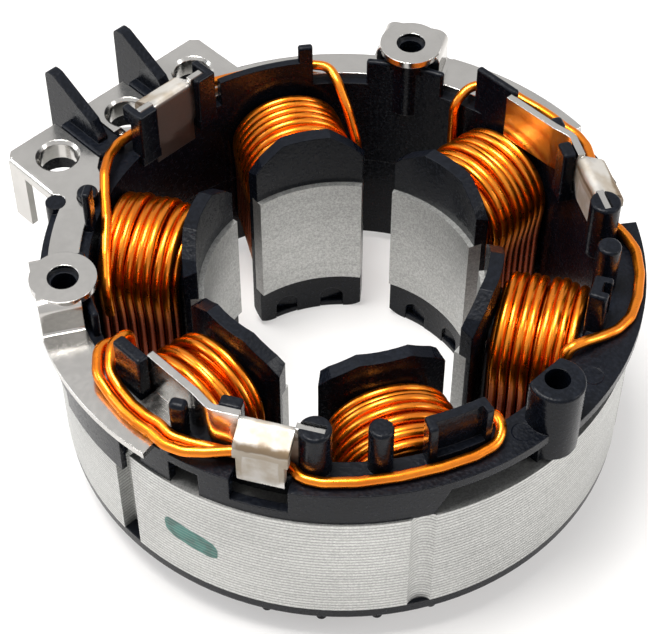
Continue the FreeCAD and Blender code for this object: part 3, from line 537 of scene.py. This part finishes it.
def tinned_material():
    material, tree, shader = new_material("tinned_sheet")
    place = object_place(tree)
    waves = node(tree, "ShaderNodeTexNoise")
    waves.inputs["Scale"].default_value = 210
    waves.inputs["Detail"].default_value = 2
    tree.links.new(place, waves.inputs["Vector"])
    grain = place_group(tree, fine_grain, place, Scale=1800.0)
    tone = place_group(tree, broad_tone, place, Scale=220.0, Low=0.90, High=1.04)["Tone"]
    nearest = sideways = None
    for angle in hook_angles:
        turn = math.radians(angle)
        across = node(tree, "ShaderNodeVectorMath", operation="DOT_PRODUCT")
        tree.links.new(place, across.inputs[0])
        across.inputs[1].default_value = (-math.sin(turn), math.cos(turn), 0)
        aside = maths(tree, "ABSOLUTE", across.outputs["Value"])
        sideways = aside if sideways is None else maths(tree, "MINIMUM", sideways, aside)
        away = distance_from(tree, place, hook_distance, angle, hook_middle)
        nearest = away if nearest is None else maths(tree, "MINIMUM", nearest, away)
    blot = node(tree, "ShaderNodeTexNoise")
    blot.inputs["Scale"].default_value = 420
    blot.inputs["Detail"].default_value = 5
    tree.links.new(place, blot.inputs["Vector"])
    reach = maths(tree, "ADD", nearest, centred(tree, blot.outputs["Fac"], 3.0 * MM))
    heat = ramp(tree, reach, 4.6 * MM, 3.2 * MM)
    bright = node(tree, "ShaderNodeVectorMath", operation="SCALE")
    bright.inputs[0].default_value = (0.56, 0.545, 0.522)
    tree.links.new(tone, bright.inputs["Scale"])
    blots = ramp(tree, blot.outputs["Fac"], 0.38, 0.66)
    dull = blend_colour(tree, blots, (0.38, 0.33, 0.27), (0.50, 0.475, 0.44))
    parts = node(tree, "ShaderNodeSeparateXYZ")
    tree.links.new(place, parts.inputs[0])
    x, y, z = parts.outputs
    drift = centred(tree, blot.outputs["Fac"], 0.9 * MM)
    above_fold = maths(tree, "SUBTRACT", z, hook_fold * MM)
    from_fold = maths(tree, "ABSOLUTE", maths(tree, "ADD", above_fold, drift))
    # Painted shadow: a dark brown line along the fold of each hook, where the fold lies in shade.
    painted_fold_shadow = maths(tree, "MULTIPLY", ramp(tree, from_fold, 0.42 * MM, 0.16 * MM), heat)
    dull = blend_colour(tree, maths(tree, "MULTIPLY", painted_fold_shadow, 0.85), dull, (0.14, 0.085, 0.035))
    margin = maths(tree, "MAXIMUM", ramp(tree, maths(tree, "ADD", sideways, drift), 1.75 * MM, 1.95 * MM),
                   ramp(tree, maths(tree, "ADD", z, drift), 23.2 * MM, 23.4 * MM))
    margin = maths(tree, "MULTIPLY", margin, ramp(tree, z, 24.0 * MM, 23.8 * MM))
    stain = maths(tree, "MULTIPLY", maths(tree, "MULTIPLY", margin, heat), 0.7)
    dull = blend_colour(tree, stain, dull, (0.30, 0.245, 0.175))
    behind = maths(tree, "MULTIPLY", ramp(tree, maths(tree, "ABSOLUTE", x), 5.2 * MM, 4.8 * MM),
                   maths(tree, "MULTIPLY", ramp(tree, y, 20 * MM, 21 * MM),
                         ramp(tree, y, (strip_inside + 0.2) * MM, (strip_inside + 0.08) * MM)))
    colour = blend_colour(tree, heat, bright.outputs["Vector"], dull)
    colour = blend_colour(tree, behind, colour, (0.10, 0.075, 0.065))
    tree.links.new(colour, shader.inputs["Base Color"])
    tree.links.new(ramp(tree, heat, 0, 1, 1.0, 0.40), shader.inputs["Metallic"])
    rough = ramp(tree, maths(tree, "MAXIMUM", heat, behind), 0, 1, 0.16, 0.46)
    rough = maths(tree, "ADD", rough, maths(tree, "MULTIPLY", grain["Mask"], 0.07))
    tree.links.new(rough, shader.inputs["Roughness"])
    melted = maths(tree, "MULTIPLY", blot.outputs["Fac"], ramp(tree, heat, 0, 1, 0.05, 0.9))
    relief = maths(tree, "ADD", waves.outputs["Fac"], melted)
    add_bump(tree, shader, relief, 0.12, 0.16, rounded_edges(tree, 0.14))
    return material


tinned_sheet = tinned_material()
print("material", tinned_sheet.name)

# %% [markdown]
# ### Enamelled wire
#
# Magnet wire is bright copper under a clear amber enamel. The metal gives the deep orange, and a
# thin clear coat over it gives the sharp white glints. The enamel's thickness varies along the wire, so
# the colour drifts between orange and a redder brown. Down the sides of the coils the colour is
# multiplied towards a dark brown, a painted shade for the dim gaps between the coils; the crowns keep their
# colour.

# %% Enamelled wire material
def wire_material():
    material, tree, shader = new_material("enamelled_copper")
    place = object_place(tree)
    tone = place_group(tree, broad_tone, place, Scale=180.0, Low=0.0, High=1.0)["Tone"]
    colour = blend_colour(tree, tone, (0.68, 0.158, 0.006), (0.88, 0.262, 0.014))
    grain = place_group(tree, fine_grain, place, Scale=1500.0)
    parts = node(tree, "ShaderNodeSeparateXYZ")
    tree.links.new(place, parts.inputs[0])
    z = parts.outputs[2]
    # Painted shade: between heights 0 and 18 mm, most from 0 to 7 mm, the copper is multiplied by a dark
    # brown for the shade between the coils; clear is 1 where no shade is painted.
    clear = maths(tree, "MAXIMUM", ramp(tree, z, 7 * MM, 18 * MM), ramp(tree, z, 0, -2.5 * MM))
    painted_side_shade = blend_colour(tree, ramp(tree, clear, 0, 1, 1, 0), (1.0, 1.0, 1.0), (0.20, 0.09, 0.05))
    colour = blend_colour(tree, 1.0, colour, painted_side_shade, "MULTIPLY")
    tree.links.new(colour, shader.inputs["Base Color"])
    shader.inputs["Metallic"].default_value = 1.0
    rough = maths(tree, "ADD", maths(tree, "MULTIPLY", grain["Mask"], 0.06), 0.27)
    tree.links.new(rough, shader.inputs["Roughness"])
    shader.inputs["Coat Weight"].default_value = 0.32
    shader.inputs["Coat Roughness"].default_value = 0.10
    shader.inputs["Coat IOR"].default_value = 1.55
    shader.inputs["Specular Tint"].default_value = (1.0, 0.62, 0.25, 1)
    add_bump(tree, shader, tone, 0.10, 0.05)
    return material


enamelled_copper = wire_material()
print("material", enamelled_copper.name)

# %% [markdown]
# ### Finishes on the CAD pieces
#
# The CAD nodes already have the right form. Each one takes the finish that its record names.

# %% Dress the CAD nodes
finish_of = {"core_steel": core_steel, "moulding": moulding,
             "tinned_sheet": tinned_sheet, "enamelled_copper": enamelled_copper}
slot_of = {part["node"]: part["material_slot"] for part in frame["record"]["subparts"]}
for name, piece in nodes.items():
    piece.data.materials.clear()
    piece.data.materials.append(finish_of[slot_of[name]])
print("dressed", len(nodes), "nodes")

# %% [markdown]
# ## Coils
#
# A coil is wound with one stiff wire, eight turns to a layer. Turn after turn goes round the rounded
# cover of the tooth, and moves over to the next turn at the far end. Wire as thick as this never
# lies quite true: it bows up over the cover, and the outer layer wanders and leaves dark gaps. Each
# layer is one smooth curve. Its control points go round a rounded rectangle, and a seeded random
# source moves each turn a little.

# %% Path round the cover
def around(half_width, half_height, corner, share):
    """Point on a rounded rectangle centred at zero, at a share of the way round from the top's middle."""
    flat_w = half_width - corner
    flat_h = half_height - corner
    arc = math.pi / 2 * corner
    run = share * (4 * flat_w + 4 * flat_h + 4 * arc)
    legs = [("line", (0, half_height), (flat_w, half_height)), ("arc", (flat_w, flat_h), 90),
            ("line", (half_width, flat_h), (half_width, -flat_h)), ("arc", (flat_w, -flat_h), 0),
            ("line", (flat_w, -half_height), (-flat_w, -half_height)), ("arc", (-flat_w, -flat_h), -90),
            ("line", (-half_width, -flat_h), (-half_width, flat_h)), ("arc", (-flat_w, flat_h), 180),
            ("line", (-flat_w, half_height), (0, half_height))]
    for leg in legs:
        length = arc if leg[0] == "arc" else math.dist(leg[1], leg[2])
        if run <= length or leg is legs[-1]:
            part = 0 if length == 0 else min(run / length, 1)
            if leg[0] == "line":
                (t0, h0), (t1, h1) = leg[1:]
                return t0 + (t1 - t0) * part, h0 + (h1 - h0) * part
            a = math.radians(leg[2] - 90 * part)
            return leg[1][0] + corner * math.cos(a), leg[1][1] + corner * math.sin(a)
        run -= length


print("top middle", around(5, 10, 3, 0), "right side", around(5, 10, 3, 0.25))

# %% Winding one layer
points_per_turn = 28


def layer_points(turns, offset, first, pitch, wander, lift, swell, source):
    half_width = cover_half + wire_radius + offset
    half_height = stack / 2 + cover + wire_radius + offset
    corner = min(half_width - 0.1, cover_corner + wire_radius + offset + lift)
    points = []
    shifts = [source.uniform(-wander, wander) for _ in range(turns + 2)]
    bows = [source.uniform(0.35, 1.0) * lift for _ in range(turns + 2)]
    for turn in range(-1, turns):
        for step in range(points_per_turn):
            share = step / points_per_turn
            if (turn < 0 and share < 0.62) or (turn == turns - 1 and share > 0.38):
                continue
            t, h = around(half_width, half_height, corner, share)
            over = min(max((share - 0.40) / 0.20, 0), 1)
            over = over * over * (3 - 2 * over)
            near_top = max(0, math.cos(2 * math.pi * share)) ** 2
            shift = shifts[turn] * (1 - over) * near_top + shifts[turn + 1] * over * near_top
            d = first + pitch * (turn + over) + shift
            bow = bows[turn] if share < 0.5 else bows[turn + 1]
            spread = min(max((h - 1.5) / 5.5, 0), 1)
            middle = 1 - abs(2 * (turn + over + 0.5) / turns - 1) ** 2
            t *= 1 + swell * (0.5 + 0.5 * middle) * spread * spread * (3 - 2 * spread)
            h += bow * near_top * (0.4 + 0.6 * middle) if h > 0 else 0
            points.append((d, t, h + stack / 2))
    return points


def wire_curve(name, splines, resolution=3):
    data = bpy.data.curves.new(name, "CURVE")
    data.dimensions = "3D"
    data.bevel_depth = (wire_radius - 0.01) * MM
    data.bevel_resolution = 3
    data.resolution_u = resolution
    data.use_fill_caps = True
    for points in splines:
        spline = data.splines.new("NURBS")
        spline.points.add(len(points) - 1)
        for point, place in zip(spline.points, points):
            point.co = (place[0] * MM, place[1] * MM, place[2] * MM, 1)
        spline.order_u = 4
        spline.use_endpoint_u = True
    piece = bpy.data.objects.new(name, data)
    bpy.context.collection.objects.link(piece)
    piece.data.materials.append(enamelled_copper)
    return piece


print("points per turn", points_per_turn)

# %% Wind the coils
nested = 0.866
unevenness = {1: 0.16, 2: 0.16, 3: 0.24, 4: 0.50, 5: 0.40, 6: 0.28}
crown = {1: 1.0, 2: 0.8, 3: 1.1, 4: 1.4, 5: 1.3, 6: 1.1}
swell = {1: 0.14, 2: 0.10, 3: 0.12, 4: 0.16, 5: 0.18, 6: 0.12}


def turned(points, degrees):
    a = math.radians(degrees)
    return [(d * math.cos(a) - t * math.sin(a), d * math.sin(a) + t * math.cos(a), z) for d, t, z in points]


coils = []
for number, angle in enumerate(tooth_angles, 1):
    source = random.Random(40 + number)
    pitch = (coil_outside - coil_inside - wire_diameter) / (turns_per_layer - 0.5)
    start = coil_inside + wire_radius + 0.02
    inner = layer_points(turns_per_layer, 0.0, start, pitch, 0.02, 0.05, swell[number] / 2, source)
    outer = layer_points(turns_per_layer, wire_diameter * nested, start + pitch / 2, pitch,
                         unevenness[number], crown[number], swell[number], source)
    splines = [turned(inner, angle), turned(outer, angle)]
    coil = wire_curve("winding_%d" % number, splines)
    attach(coil, "root")
    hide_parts("coil_%d" % number)
    coils.append(coil)
print("coils", [c.name for c in coils])

# %% [markdown]
# ## Sills of the lower flanges
#
# Each lower flange has two shallow arches in its face towards the bore. A thin sill closes the foot of
# each arch, so that the lower edge runs on unbroken. A sill is a small rectangle spun through the width
# of its arch, with its edges bevelled.

# %% Flange sills
def make_sills():
    mesh = bpy.data.meshes.new("flange_sills")
    sills = bmesh.new()
    width, height, depth, pitch, lift = 2.7, 0.8, 0.5, 5.6, 0.01
    near = flange_inside + 0.02
    far = near + depth - 0.02
    span = math.asin(width / 2 / near) * 2 - 0.002
    for angle in tooth_angles:
        for side in (-1, 1):
            centre = math.radians(angle) + side * math.asin(pitch / 2 / near)
            a = centre - span / 2
            ring = []
            for r, z in ((near, lift), (far, lift), (far, height), (near, height)):
                corner = (r * math.cos(a) * MM, r * math.sin(a) * MM, table_height + z * MM)
                ring.append(sills.verts.new(corner))
            face = sills.faces.new(ring)
            bmesh.ops.spin(sills, geom=[face, *ring, *face.edges], cent=(0, 0, 0), axis=(0, 0, 1),
                           angle=span, steps=6)
    bmesh.ops.recalc_face_normals(sills, faces=sills.faces)
    sills.to_mesh(mesh)
    sills.free()
    piece = bpy.data.objects.new("flange_sills", mesh)
    bpy.context.collection.objects.link(piece)
    rounding = piece.modifiers.new("rounding", "BEVEL")
    rounding.width = 0.08 * MM
    rounding.segments = 2
    mesh.materials.append(moulding)
    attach(piece, "root")
    return piece


flange_sills = make_sills()
print("sills", len(flange_sills.data.polygons), "faces")
